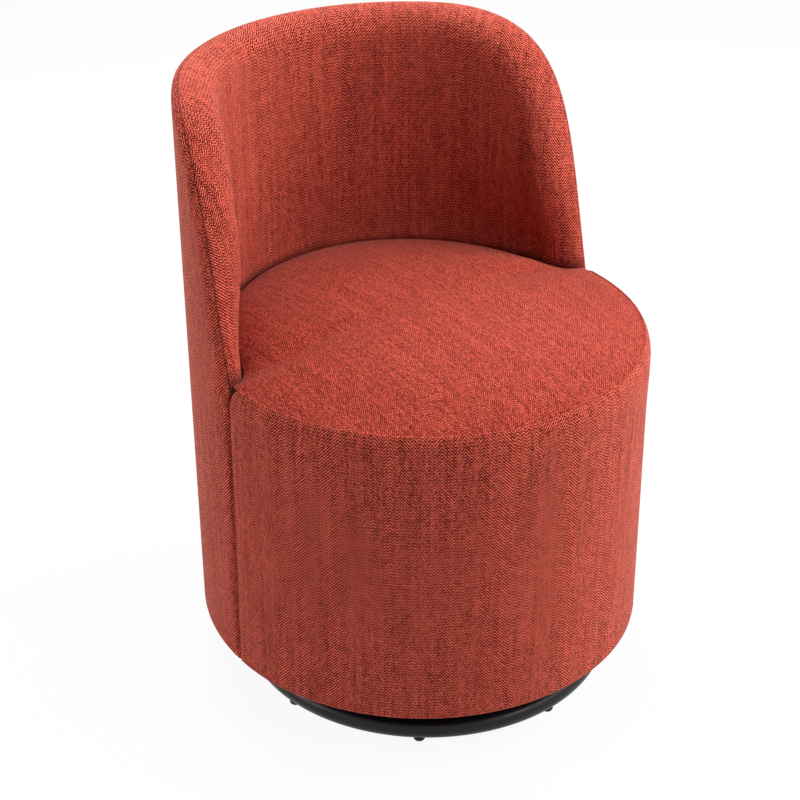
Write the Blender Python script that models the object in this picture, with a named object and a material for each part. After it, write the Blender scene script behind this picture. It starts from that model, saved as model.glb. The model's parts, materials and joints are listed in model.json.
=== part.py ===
"""Swivel barrel dining chair: an upholstered drum seat and wrap-around back on a steel ring base.

Metres, +Z up. The chair faces -Y and stands on z = 0, with the origin under the middle of its box.
The upholstered drum is modelled about its own axis; the base and the bearing about the swivel's axis,
which stands under the middle of the seat. The pieces hang from empties on those axes.
"""

from math import cos, hypot, pi, radians, sin, sqrt

import bmesh
import bpy
from mathutils import Matrix, Vector
from mathutils.geometry import interpolate_bezier

# Overall sizes
WIDTH = 0.560
DEPTH = 0.580
HEIGHT = 0.765
SEAT_HEIGHT = 0.490
CROWN_RISE = 0.035
DRUM_STEP = 0.004
BACK_THICKNESS = 0.046
SKIRT_HEIGHT = 0.064
FLARE = 0.0105

# Shape of the back's edge, as angles round the swivel from the rear
EDGE_ANGLE = radians(89.6)
EDGE_FOOT_DROP = 0.015
EDGE_LEAN = radians(51.0)
EDGE_FOOT_PULL = 0.210
TOP_ANGLE = radians(43.0)
TOP_PULL = radians(35.0)
EDGE_ROUND = 0.016
EDGE_TURN_IN = 0.0015
EDGE_TURN_DEPTH = 0.010

# Upholstery layers
COVER = 0.0016
OUTER_FOAM = 0.006
PLYWOOD = 0.011
PLYWOOD_INSET = 0.010
DRUM_FOAM = 0.012
DRUM_WALL = 0.003
SEAM_ROLL = 0.014
SEAM_INSET = 0.006
HEM = 0.040
CROWN_POWER = 3.4
CROWN_ROUND = 0.75

# Wooden frame of the drum
BOTTOM_BOARD = 0.015
DECK = 0.015
SEAT_PAD = 0.035
DECK_RIM = 0.030
POST = 0.036
POST_ANGLES = [radians(a) for a in (35.0, -35.0, 82.0, -82.0, 140.0, -140.0)]
DUST_COVER = 0.0014

# Woven straps that carry the seat foam
STRAP = 0.002
STRAP_WIDTH = 0.050
STRAP_PITCH = 0.100
STRAP_LAP = 0.021
STRAP_EASE = 0.0035

# Ring base
RING_RADIUS = 0.2225
TUBE_RADIUS = 0.0125
GLIDE_HEIGHT = 0.0052
GLIDE_RADIUS = 0.0075
GLIDE_SOLE_RADIUS = 0.004
GLIDE_DOME = 0.0042
GLIDE_COLLAR = 0.004
GLIDE_COUNT = 8
GLIDE_TURN = radians(5.6)
STEM_RADIUS = 0.004
STEM_LENGTH = 0.009
BAR_WIDTH = 0.040
BAR = 0.006
BAR_DROP = 0.003

# Swivel bearing
PLATE = 0.0025
PLATE_WIDTH = 0.170
PLATE_CORNER = 0.014
BOLT_SPACING = 0.136
BALL_CIRCLE = 0.054
BALL_RADIUS = 0.0045
BALL_COUNT = 12
CAGE = 0.003
CAGE_WIDTH = 0.013
DISH_MARGIN = 0.011
DISH_SLOPE = 0.006
DISH_LAP = 0.004
DISH_BITE = 0.00025
RIVET_RADIUS = 0.008
RIVET_HEAD = 0.0025
RIVET_HEAD_RADIUS = 0.013

# Fasteners
BOLT_RADIUS = 0.003
BOLT_HEAD = 0.0035
BOLT_HEAD_RADIUS = 0.0065
BOLT_CROWN_RADIUS = 0.0045
NUT = 0.005
SCREW_RADIUS = 0.0022
SCREW_LENGTH = 0.012
BACK_BOLT_INSET = 0.052
TEE_FLANGE = 0.0015
TEE_FLANGE_RADIUS = 0.009
TEE_BARREL_RADIUS = 0.0046
TEE_BARREL = 0.008

# Clearances
GAP = 0.0003
LAYER_GAP = 0.0005
SEAT_GAP = 0.0008
STEP_GAP = 0.004
SEAM_GAP = 0.0015
HOLE_GAP = 0.0004
MERGE = 0.000001
PAST = 0.010

# Facets
HALF_COLUMNS = 28
CORNER_COLUMNS = 16
TOP_COLUMNS = 14
CROWN_ROWS = 5
RING_SEGMENTS = 48
TUBE_SIDES = 12
BEARING_SEGMENTS = 24
GLIDE_SIDES = 16
DOME_STEPS = 4
FASTENER_SIDES = 8
BALL_SIDES = 8
SMOOTH_BELOW = radians(40.0)

# Depths inside the back's outer face and heights that follow from the sizes above
SEAM_HEIGHT = SEAT_HEIGHT - CROWN_RISE
EDGE_FOOT_HEIGHT = SEAM_HEIGHT - EDGE_FOOT_DROP
DRUM_RADIUS = WIDTH / 2 - DRUM_STEP
BACK_REACH = DEPTH - DRUM_RADIUS
DRUM_Y = (DRUM_RADIUS - BACK_REACH) / 2
SWIVEL_SHIFT = (BACK_REACH - BACK_THICKNESS - DRUM_RADIUS) / 2
FOAM_DEPTH = COVER + LAYER_GAP
PLY_OUT = FOAM_DEPTH + OUTER_FOAM + LAYER_GAP
PLY_IN = PLY_OUT + PLYWOOD
FRAME_DEPTH = PLY_IN + LAYER_GAP
DRUM_FOAM_RADIUS = DRUM_RADIUS - COVER - LAYER_GAP
DRUM_WALL_RADIUS = DRUM_FOAM_RADIUS - DRUM_FOAM - LAYER_GAP
FRAME_RADIUS = DRUM_WALL_RADIUS - DRUM_WALL - LAYER_GAP
BOARD_BOTTOM = SKIRT_HEIGHT + COVER + GAP
BOARD_TOP = BOARD_BOTTOM + BOTTOM_BOARD
DECK_TOP = SEAM_HEIGHT - SEAT_PAD
DECK_BOTTOM = DECK_TOP - DECK
DECK_HOLE_RADIUS = min(WIDTH / 2, BACK_REACH) - BACK_THICKNESS - DECK_RIM
BACK_BOLT_HEIGHTS = (BOARD_TOP + BACK_BOLT_INSET, DECK_BOTTOM - BACK_BOLT_INSET)
STRAP_RISE = STRAP + 2 * GAP
SEAT_FOAM_BOTTOM = DECK_TOP + GAP + STRAP + STRAP_RISE + GAP
RING_Z = GLIDE_HEIGHT + TUBE_RADIUS
BAR_TOP = RING_Z + TUBE_RADIUS - BAR_DROP
LOWER_FLANGE = BAR_TOP + GAP
UPPER_FLANGE = BOARD_BOTTOM - GAP - PLATE
BALL_Z = (LOWER_FLANGE + UPPER_FLANGE + PLATE) / 2
RACE_GAP = BALL_RADIUS + GAP


def clear_scene():
    for old in list(bpy.data.objects):
        bpy.data.objects.remove(old)


def finish(name, colour, roughness, metallic=0.0):
    """A plain material in a piece's own colour."""
    made = bpy.data.materials.new(name)
    made.use_nodes = True
    shader = made.node_tree.nodes["Principled BSDF"]
    shader.inputs["Base Color"].default_value = (*colour, 1.0)
    shader.inputs["Roughness"].default_value = roughness
    shader.inputs["Metallic"].default_value = metallic
    return made


def pivot(name, y):
    """An empty on an upright axis, at floor level."""
    empty = bpy.data.objects.new(name, None)
    empty.location = (0, y, 0)
    bpy.context.collection.objects.link(empty)
    return empty


def piece(name, shape, material, parent, turn=0.0, place=None):
    """Put a shape into the scene as a named piece; a mesh may be shared by several pieces."""
    if isinstance(shape, bmesh.types.BMesh):
        mesh = bpy.data.meshes.new(name)
        bmesh.ops.recalc_face_normals(shape, faces=shape.faces[:])
        shape.to_mesh(mesh)
        shape.free()
        mesh.shade_smooth()
        mesh.set_sharp_from_angle(angle=SMOOTH_BELOW)
        mesh.materials.append(material)
    else:
        mesh = shape
    made = bpy.data.objects.new(name, mesh)
    bpy.context.collection.objects.link(made)
    made.parent = parent
    made.matrix_local = place or Matrix.Rotation(turn, 4, "Z")
    return made


def cutter(name, shape, parent):
    """A hidden helper for a Boolean."""
    made = piece(name, shape, None, parent)
    made.hide_render = True
    made.display_type = "WIRE"
    return made


def combine(target, helper, operation):
    step = target.modifiers.new(operation.lower(), "BOOLEAN")
    step.operation = operation
    step.solver = "EXACT"
    step.object = helper


def drill(target, radius, length, frames, kind="holes"):
    """Round holes in a piece, each centred on a frame and running along its Z axis."""
    shape = bmesh.new()
    for frame in frames:
        bmesh.ops.create_cone(shape, cap_ends=True, segments=FASTENER_SIDES, radius1=radius,
                              radius2=radius, depth=length, matrix=frame)
    combine(target, cutter(f"{target.name}_{kind}", shape, target.parent), "DIFFERENCE")


def turned(profile, segments, ring=False):
    """A profile of (radius, height) points spun round the Z axis, closed on itself if a ring."""
    shape = bmesh.new()
    points = [shape.verts.new((radius, 0, z)) for radius, z in profile]
    ends = points[1:] + points[:1] if ring else points[1:]
    lines = [shape.edges.new(pair) for pair in zip(points, ends)]
    bmesh.ops.spin(shape, geom=points + lines, axis=(0, 0, 1), cent=(0, 0, 0), angle=2 * pi,
                   steps=segments, use_merge=True)
    bmesh.ops.remove_doubles(shape, verts=shape.verts[:], dist=MERGE)
    return shape


def prism(outline, bottom, top):
    """A flat outline of (x, y) points raised between two heights."""
    shape = bmesh.new()
    face = shape.faces.new([shape.verts.new((x, y, bottom)) for x, y in outline])
    raised = bmesh.ops.extrude_face_region(shape, geom=[face])["geom"]
    verts = [item for item in raised if isinstance(item, bmesh.types.BMVert)]
    bmesh.ops.translate(shape, verts=verts, vec=(0, 0, top - bottom))
    return shape


def bent_grid(shape, columns, rows, point):
    """Add a grid of faces, bent so that each column and row meets at its own point.

    Each vertex keeps its column and row, in that order, in the returned layers.
    """
    marks = [shape.verts.layers.int.new(name) for name in ("column", "row")]
    made = bmesh.ops.create_grid(shape, x_segments=columns, y_segments=rows, size=0.5)["verts"]
    for vert in made:
        vert[marks[0]] = round((vert.co.x + 0.5) * columns)
        vert[marks[1]] = round((vert.co.y + 0.5) * rows)
        vert.co = point(vert[marks[0]], vert[marks[1]])
    bmesh.ops.remove_doubles(shape, verts=made, dist=MERGE)
    return marks


def sheet(columns, rows, outside, inside):
    """A closed skin: a bent grid for its outside, extruded to a second one inside."""
    shape = bmesh.new()
    marks = bent_grid(shape, columns, rows, outside)
    raised = bmesh.ops.extrude_face_region(shape, geom=shape.faces[:])["geom"]
    for item in raised:
        if isinstance(item, bmesh.types.BMVert):
            item.co = inside(item[marks[0]], item[marks[1]])
    return shape


def back_normal(angle, z):
    """The level direction that the back's outer face looks in."""
    half_width = WIDTH / 2 + (z - SEAM_HEIGHT) * FLARE
    half_depth = BACK_REACH + (z - HEIGHT) * FLARE
    return Vector((half_depth * sin(angle), half_width * cos(angle), 0)).normalized()


def back_point(angle, z, depth):
    """A point of the back at an angle from the rear, a depth inside its flaring outer face."""
    half_width = WIDTH / 2 + (z - SEAM_HEIGHT) * FLARE
    half_depth = BACK_REACH + (z - HEIGHT) * FLARE
    face = Vector((half_width * sin(angle), half_depth * cos(angle), z))
    return face - depth * back_normal(angle, z)


def front_point(angle, z, radius):
    """A point of the drum's round front, at an angle from the rear."""
    return Vector((radius * sin(angle), radius * cos(angle), z))


def back_frame(angle, z, depth):
    """A frame in the back whose Z axis points straight out of it and whose Y axis is up."""
    out = back_normal(angle, z)
    up = Vector((0, 0, 1))
    turn = Matrix((up.cross(out), up, out)).transposed().to_4x4()
    return Matrix.Translation(back_point(angle, z, depth)) @ turn


def back_edge():
    """The back's edge from its right foot over the top to its left foot.

    Each point is an angle and a height, with the edge's outward direction there in the same units.
    """
    middle_radius = (WIDTH / 2 + BACK_REACH) / 2
    foot = Vector((EDGE_ANGLE, EDGE_FOOT_HEIGHT))
    lean = Vector((-EDGE_LEAN * EDGE_FOOT_PULL, EDGE_FOOT_PULL))
    top = Vector((TOP_ANGLE, HEIGHT))
    pull = Vector((TOP_PULL, 0))
    curve = interpolate_bezier(foot, foot + lean, top + pull, top, CORNER_COLUMNS + 1)
    curve = [point.to_2d() for point in curve]
    right = []
    for index, point in enumerate(curve[:-1]):
        step = curve[index + 1] - curve[max(index - 1, 0)]
        run = Vector((step.x * middle_radius, step.y)).normalized()
        right.append((point.x, point.y, Vector((run.y / middle_radius, -run.x))))
    up = Vector((0, 1))
    flat = [(TOP_ANGLE * (1 - 2 * i / TOP_COLUMNS), HEIGHT, up) for i in range(TOP_COLUMNS + 1)]
    left = [(-angle, z, Vector((-out.x, out.y))) for angle, z, out in reversed(right)]
    return right + flat + left


def back_side(bottom, profile):
    """One side of a layer of the back, from a bottom height up to its edge.

    The profile's (inset, depth) pairs lead from the side's face over the edge.
    """
    edge = back_edge()
    turns = len(profile) - 1

    def point(column, row):
        spot = min(max(column - turns, 0), len(edge) - 1)
        ring = max(abs(column - turns - spot), row - 1, 0)
        inset, depth = profile[ring]
        angle, z, out = edge[spot]
        height = z - inset * out.y if row else bottom
        return back_point(angle - inset * out.x, height, depth)

    return point


def back_layer(bottom, outer_profile, inner_profile):
    """A layer of the back between two profiles of the same length."""
    turns = len(outer_profile) - 1
    columns = len(back_edge()) - 1 + 2 * turns
    return sheet(columns, 1 + turns, back_side(bottom, outer_profile), back_side(bottom, inner_profile))


def rolled_edge(skin, end):
    """The inner face and its rounded edge, drawn in by a skin's thickness."""
    round_off = EDGE_ROUND * (1 - sqrt(0.5)) + skin * sqrt(0.5)
    return [
        (EDGE_ROUND, BACK_THICKNESS - skin),
        (round_off, BACK_THICKNESS - round_off),
        (skin, BACK_THICKNESS - EDGE_ROUND),
    ] + [(inset + skin, depth) for inset, depth in end]


def build_back(parent, fabric, foam, plywood):
    """The bent plywood back with foam on both faces and a two-panel cover."""
    bottom = BOARD_BOTTOM
    shell = piece("back_shell", back_layer(bottom, [(PLYWOOD_INSET, PLY_OUT)], [(PLYWOOD_INSET, PLY_IN)]),
                  plywood, parent)
    frames = [back_frame(angle, z, PLY_OUT) for angle in POST_ANGLES[:2] for z in BACK_BOLT_HEIGHTS]
    drill(shell, TEE_BARREL_RADIUS + HOLE_GAP, 2 * (PLYWOOD + PAST), frames)
    drill(shell, TEE_FLANGE_RADIUS + HOLE_GAP, 2 * (TEE_FLANGE + 2 * GAP), frames, kind="sinkings")
    edge = EDGE_TURN_IN + FOAM_DEPTH
    piece("back_outer_foam", back_layer(bottom, [(edge, FOAM_DEPTH)], [(edge, FOAM_DEPTH + OUTER_FOAM)]),
          foam, parent)
    piece("back_outer_cover", outer_cover(), fabric, parent)
    seat_side = DECK_TOP + GAP
    end = [(0, PLY_OUT)]
    behind = PLY_IN + LAYER_GAP
    step = PLYWOOD_INSET - LAYER_GAP
    pad_back = [(EDGE_ROUND, behind), ((EDGE_ROUND + step) / 2, behind), (step, behind), (step, PLY_OUT)]
    piece("back_inner_foam", back_layer(seat_side, rolled_edge(FOAM_DEPTH, end), pad_back), foam, parent)
    end = [(0, EDGE_TURN_DEPTH), (EDGE_TURN_IN, FOAM_DEPTH)]
    piece("back_inner_cover", back_layer(seat_side, rolled_edge(0, end), rolled_edge(COVER, end)),
          fabric, parent)


def outer_cover():
    """The outside panel, whose lower hem turns under the back."""
    face = back_side(SKIRT_HEIGHT, [(0, 0)])
    lining = back_side(SKIRT_HEIGHT + COVER, [(0, COVER)])
    edge = back_edge()

    def hemmed(side, z):
        def point(column, row):
            if row:
                return side(column, row - 1)
            return back_point(edge[column][0], z, HEM)
        return point

    return sheet(len(edge) - 1, 2, hemmed(face, SKIRT_HEIGHT), hemmed(lining, SKIRT_HEIGHT + COVER))


def build_back_bolts(parent, steel):
    """Bolts from inside the drum through its rear posts into tee nuts in the plywood."""
    head = post_depth() + POST + GAP
    bolt = turned([(0, -head - BOLT_HEAD), (BOLT_HEAD_RADIUS, -head - BOLT_HEAD), (BOLT_HEAD_RADIUS, -head),
                   (BOLT_RADIUS, -head), (BOLT_RADIUS, -PLY_OUT - TEE_FLANGE), (0, -PLY_OUT - TEE_FLANGE)],
                  FASTENER_SIDES)
    flange = PLY_OUT + GAP
    under = flange + TEE_FLANGE
    bore = BOLT_RADIUS + HOLE_GAP
    nut = turned([(bore, -flange), (TEE_FLANGE_RADIUS, -flange), (TEE_FLANGE_RADIUS, -under),
                  (TEE_BARREL_RADIUS, -under), (TEE_BARREL_RADIUS, -under - TEE_BARREL),
                  (bore, -under - TEE_BARREL)], FASTENER_SIDES, ring=True)
    places = [(angle, z) for angle in POST_ANGLES[:2] for z in BACK_BOLT_HEIGHTS]
    for index, (angle, z) in enumerate(places, 1):
        frame = back_frame(angle, z, 0)
        bolt = piece(f"back_bolt_{index}", bolt, steel, parent, place=frame).data
        nut = piece(f"back_nut_{index}", nut, steel, parent, place=frame).data


def post_depth():
    """How deep a post's flat outer face lies, clear of the curved shell along its edges."""
    return FRAME_DEPTH + flat_face_drop(FRAME_RADIUS)


def flat_face_drop(radius):
    return radius - sqrt(radius ** 2 - (POST / 2) ** 2) + GAP


def frame_outline(z):
    """The edge of the drum's boards: round in front, following the back's shell behind."""
    rear = [back_point(angle, z, FRAME_DEPTH) for angle, *_ in reversed(back_edge())]
    front = [front_point((i / HALF_COLUMNS + 0.5) * pi, z, FRAME_RADIUS) for i in range(HALF_COLUMNS + 1)]
    return [point.xy for point in rear + front]


def build_frame(parent, plywood, wood, cloth):
    """Bottom board, deck, posts, wall and dust cover of the drum."""
    shape = prism(frame_outline(BOARD_BOTTOM), BOARD_BOTTOM, BOARD_TOP)
    board = piece("bottom_board", shape, plywood, parent)
    drill(board, SCREW_RADIUS + HOLE_GAP, 2 * (SCREW_LENGTH + GAP),
          [Matrix.Translation((x, y + SWIVEL_SHIFT, BOARD_BOTTOM)) for x, y in bolt_places()])
    deck = piece("seat_deck", prism(frame_outline(DECK_BOTTOM), DECK_BOTTOM, DECK_TOP), plywood, parent)
    hole = bmesh.new()
    bmesh.ops.create_cone(hole, cap_ends=True, segments=BEARING_SEGMENTS, radius1=DECK_HOLE_RADIUS,
                          radius2=DECK_HOLE_RADIUS, depth=2 * (DECK + PAST),
                          matrix=Matrix.Translation((0, 0, DECK_TOP)))
    combine(deck, cutter("deck_hole", hole, parent), "DIFFERENCE")
    build_posts(parent, wood)
    wall_inner = DRUM_WALL_RADIUS - DRUM_WALL
    piece("drum_wall", drum_layer([(DRUM_WALL_RADIUS, BOARD_BOTTOM), (DRUM_WALL_RADIUS, DECK_TOP)],
                                  [(wall_inner, BOARD_BOTTOM), (wall_inner, DECK_TOP)]), plywood, parent)
    build_dust_cover(parent, cloth)


def build_posts(parent, wood):
    """Upright posts between the boards; those against the back lean with its flare."""
    bottom = BOARD_TOP + GAP
    length = DECK_BOTTOM - GAP - bottom
    for index, angle in enumerate(POST_ANGLES, 1):
        at_back = abs(angle) < pi / 2
        if at_back:
            frame = back_frame(angle, bottom, post_depth())
            lean = FLARE
        else:
            out = front_point(angle, 0, 1)
            up = Vector((0, 0, 1))
            turn = Matrix((up.cross(out), up, out)).transposed().to_4x4()
            radius = FRAME_RADIUS - flat_face_drop(FRAME_RADIUS)
            frame = Matrix.Translation(front_point(angle, bottom, radius)) @ turn
            lean = 0.0
        tilt = Matrix.Identity(4)
        tilt[2][1] = lean
        size = Matrix.Diagonal((POST, length, POST, 1))
        shape = bmesh.new()
        shift = Matrix.Translation((0, length / 2, -POST / 2))
        bmesh.ops.create_cube(shape, size=1.0, matrix=tilt @ shift @ size)
        made = piece(f"frame_post_{index}", shape, wood, parent, place=frame)
        if index <= 2:
            holes = [back_frame(angle, z, post_depth()) for z in BACK_BOLT_HEIGHTS]
            drill(made, BOLT_RADIUS + HOLE_GAP, 2 * (POST + PAST), holes)


def build_dust_cover(parent, cloth):
    """The thin cloth under the board, cut out round the bearing."""
    top = BOARD_BOTTOM - GAP
    reach = HEM + LAYER_GAP
    rear = [back_point(angle, top, reach) for angle, *_ in reversed(back_edge())]
    front = [front_point((i / HALF_COLUMNS + 0.5) * pi, top, DRUM_RADIUS - reach)
             for i in range(HALF_COLUMNS + 1)]
    dust = piece("dust_cover", prism([p.xy for p in rear + front], top - DUST_COVER, top), cloth, parent)
    half = PLATE_WIDTH / 2 + 2 * LAYER_GAP
    near = SWIVEL_SHIFT - half
    far = SWIVEL_SHIFT + half
    square = [(-half, near), (half, near), (half, far), (-half, far)]
    combine(dust, cutter("dust_opening", prism(square, top - PAST, top + PAST), parent), "DIFFERENCE")


def drum_layer(outer_profile, inner_profile):
    """A layer round the drum's front half, between two profiles of (radius, height) points."""
    start = pi / 2 + SEAM_GAP / DRUM_RADIUS
    run = 2 * (pi - start)

    def side(profile):
        def point(column, row):
            radius, z = profile[row]
            return front_point(start + run * column / HALF_COLUMNS, z, radius)
        return point

    return sheet(HALF_COLUMNS, len(outer_profile) - 1, side(outer_profile), side(inner_profile))


def seam_roll(skin):
    """The drum's rounded upper edge up to the seat's seam, as (inset, height), drawn in by a skin."""
    steps = [i * pi / 6 for i in range(4)]
    return [(skin + SEAM_INSET * (1 - cos(a)), SEAM_HEIGHT - SEAM_ROLL + (SEAM_ROLL - skin) * sin(a))
            for a in steps]


def build_drum_upholstery(parent, fabric, foam):
    inner = DRUM_FOAM_RADIUS - DRUM_FOAM
    piece("drum_foam", drum_layer([(DRUM_FOAM_RADIUS, BOARD_BOTTOM), (DRUM_FOAM_RADIUS, DECK_TOP)],
                                  [(inner, BOARD_BOTTOM), (inner, DECK_TOP)]), foam, parent)
    outer = [(DRUM_RADIUS - HEM, SKIRT_HEIGHT), (DRUM_RADIUS, SKIRT_HEIGHT)]
    outer += [(DRUM_RADIUS - inset, z) for inset, z in seam_roll(0)]
    lining = [(DRUM_RADIUS - HEM, SKIRT_HEIGHT + COVER), (DRUM_RADIUS - COVER, SKIRT_HEIGHT + COVER)]
    lining += [(DRUM_RADIUS - inset, z) for inset, z in seam_roll(COVER)]
    piece("drum_cover", drum_layer(outer, lining), fabric, parent)


def seat_outline():
    """The seat's edge seen from above: round in front, stepping in to lie inside the back."""
    inside = BACK_THICKNESS + SEAT_GAP
    rear_angle = EDGE_ANGLE - (EDGE_ROUND - STEP_GAP) / BACK_REACH
    front_angle = pi / 2 + 2 * STEP_GAP / DRUM_RADIUS
    z = SEAM_HEIGHT
    rear = [back_point((i / HALF_COLUMNS * 2 - 1) * rear_angle, z, inside) for i in range(HALF_COLUMNS + 1)]
    front_run = 2 * (pi - front_angle)
    front = [front_point(front_angle + front_run * i / HALF_COLUMNS, z, DRUM_RADIUS)
             for i in range(HALF_COLUMNS + 1)]
    step_x = WIDTH / 2 - BACK_THICKNESS + EDGE_ROUND / 2
    step_right = Vector((step_x, -STEP_GAP / 2, z))
    step_left = Vector((-step_x, -STEP_GAP / 2, z))
    points = [point.xy for point in rear + [step_right] + front + [step_left]]
    first_front = len(rear) + 1
    return points, range(first_front, first_front + len(front))


def inward_directions(points):
    """For each corner of an outline, the move that draws both its sides in by one unit."""
    moves = []
    for before, here, after in zip(points[-1:] + points[:-1], points, points[1:] + points[:1]):
        first = (here - before).normalized().orthogonal()
        second = (after - here).normalized().orthogonal()
        moves.append(-(first + second) / (1 + first.dot(second)))
    return moves


def crown(share):
    """The seat's height over its seam, from the middle out to the edge."""
    return CROWN_RISE * (1 - share ** CROWN_POWER) ** CROWN_ROUND


def oval_point(towards, inset):
    """Where the smooth oval that fits inside the seat's edge lies, in the direction of a point."""
    half_width = WIDTH / 2 - BACK_THICKNESS - inset
    half_depth = (DRUM_RADIUS if towards.y < 0 else BACK_REACH - BACK_THICKNESS) - inset
    return towards / hypot(towards.x / half_width, towards.y / half_depth)


def seat_side(skin, base):
    """One side of the seat: a crowned top, then a rolled edge down to a base height.

    In front the edge lies inside the drum's cover, so it is drawn in by that cover too.
    """
    points, front_range = seat_outline()
    moves = inward_directions(points)
    rows = CROWN_ROWS + len(seam_roll(0)) + 1

    def point(column, row):
        index = column % len(points)
        drawn_in = skin + (FOAM_DEPTH if index in front_range else 0)
        if row < CROWN_ROWS:
            share = sin(row / CROWN_ROWS * pi / 2)
            spot = oval_point(points[index], SEAM_INSET + drawn_in) * share
            return Vector((spot.x, spot.y, SEAM_HEIGHT - skin + crown(share)))
        if row == CROWN_ROWS:
            spot = points[index] + moves[index] * (SEAM_INSET + drawn_in)
            return Vector((spot.x, spot.y, SEAM_HEIGHT - skin))
        below = row - CROWN_ROWS
        inset, z = seam_roll(drawn_in)[-below] if row < rows else (drawn_in, base)
        spot = points[index] + moves[index] * inset
        return Vector((spot.x, spot.y, z))

    return len(points), rows, point


def build_seat(parent, fabric, foam):
    base = SEAT_FOAM_BOTTOM + GAP
    columns, rows, top = seat_side(0, base)
    lining = seat_side(COVER, base)[2]
    piece("seat_cover", sheet(columns, rows, top, lining), fabric, parent)
    pad = seat_side(FOAM_DEPTH, SEAT_FOAM_BOTTOM)[2]

    shape = bmesh.new()
    bent_grid(shape, columns, rows, pad)
    rim = [edge for edge in shape.edges if edge.is_boundary]
    bmesh.ops.contextual_create(shape, geom=rim)
    piece("seat_foam", shape, foam, parent)


def build_straps(parent, webbing):
    """Three straps each way, woven over and under, lapped onto the deck."""
    half_flat = STRAP_WIDTH / 2 + STRAP_EASE
    middle = DECK_TOP + GAP + (STRAP + STRAP_RISE) / 2
    for index in range(6):
        lane = index % 3 - 1
        across = index >= 3
        end = sqrt(DECK_HOLE_RADIUS ** 2 - (lane * STRAP_PITCH) ** 2) + STRAP_LAP
        stations = [(-end, -1)]
        for crossing in (-1, 0, 1):
            over = 1 if (lane + crossing + across) % 2 == 0 else -1
            middle_along = crossing * STRAP_PITCH
            stations += [(middle_along - half_flat, over), (middle_along + half_flat, over)]
        stations.append((end, -1))

        def side(lift):
            def point(column, row):
                along, over = stations[column]
                beside = lane * STRAP_PITCH + (row - 0.5) * STRAP_WIDTH
                z = middle + over * STRAP_RISE / 2 + lift
                return Vector((beside, along, z) if across else (along, beside, z))
            return point

        shape = sheet(len(stations) - 1, 1, side(STRAP / 2), side(-STRAP / 2))
        piece(f"seat_strap_{index + 1}", shape, webbing, parent)


def torus(tube_radius):
    """The base ring's tube at a given radius."""
    profile = [(RING_RADIUS + tube_radius * cos(2 * pi * i / TUBE_SIDES),
                RING_Z + tube_radius * sin(2 * pi * i / TUBE_SIDES)) for i in range(TUBE_SIDES)]
    return turned(profile, RING_SEGMENTS, ring=True)


def build_base(parent, paint, plastic):
    """The ring, two flat bars across it, and glides pressed into the tube from below."""
    ring = piece("base_ring", torus(TUBE_RADIUS), paint, parent)
    turns = [GLIDE_TURN + 2 * pi * i / GLIDE_COUNT for i in range(GLIDE_COUNT)]
    spot = Matrix.Translation((RING_RADIUS, 0, GLIDE_HEIGHT))
    spots = [Matrix.Rotation(turn, 4, "Z") @ spot for turn in turns]
    drill(ring, STEM_RADIUS + HOLE_GAP, 2 * (STEM_LENGTH + GAP), spots)
    saddle = cutter("ring_saddle", torus(TUBE_RADIUS + GAP), parent)
    for name, side in (("base_bar_front", -1), ("base_bar_rear", 1)):
        near = side * BOLT_SPACING / 2 - BAR_WIDTH / 2
        far = near + BAR_WIDTH
        near_reach = sqrt(RING_RADIUS ** 2 - near ** 2)
        far_reach = sqrt(RING_RADIUS ** 2 - far ** 2)
        outline = [(-near_reach, near), (near_reach, near), (far_reach, far), (-far_reach, far)]
        bar = piece(name, prism(outline, BAR_TOP - BAR, BAR_TOP), paint, parent)
        combine(bar, saddle, "DIFFERENCE")
        places = [Matrix.Translation((x, y, BAR_TOP)) for x, y in bolt_places() if y * side > 0]
        drill(bar, BOLT_RADIUS + HOLE_GAP, 2 * (BAR + PAST), places)
    build_glides(parent, plastic, saddle, turns)


def build_glides(parent, plastic, saddle, turns):
    """A domed foot that cups the tube, with a stem up into it."""
    collar = GLIDE_HEIGHT + GLIDE_COLLAR
    turns_up = [i / DOME_STEPS * pi / 2 for i in range(DOME_STEPS + 1)]
    dome = [(GLIDE_SOLE_RADIUS + (GLIDE_RADIUS - GLIDE_SOLE_RADIUS) * sin(a), GLIDE_DOME * (1 - cos(a)))
            for a in turns_up]
    foot = turned([(0, 0)] + dome + [(GLIDE_RADIUS, collar), (0, collar)], GLIDE_SIDES)
    bmesh.ops.translate(foot, verts=foot.verts[:], vec=(RING_RADIUS, 0, 0))
    root = GLIDE_HEIGHT / 2
    tip = GLIDE_HEIGHT + STEM_LENGTH
    stem = turned([(0, root), (STEM_RADIUS, root), (STEM_RADIUS, tip), (0, tip)], FASTENER_SIDES)
    bmesh.ops.translate(stem, verts=stem.verts[:], vec=(RING_RADIUS, 0, 0))
    pattern = cutter("glide_pattern", foot, parent)
    combine(pattern, saddle, "DIFFERENCE")
    combine(pattern, cutter("glide_stem", stem, parent), "UNION")
    bpy.context.view_layer.update()
    shaped = bpy.data.meshes.new_from_object(pattern.evaluated_get(bpy.context.evaluated_depsgraph_get()))
    shaped.materials.clear()
    shaped.materials.append(plastic)
    for index, turn in enumerate(turns, 1):
        piece(f"glide_{index}", shaped, plastic, parent, turn=turn)


def bolt_places():
    half = BOLT_SPACING / 2
    return [(half, half), (-half, half), (-half, -half), (half, -half)]


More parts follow.
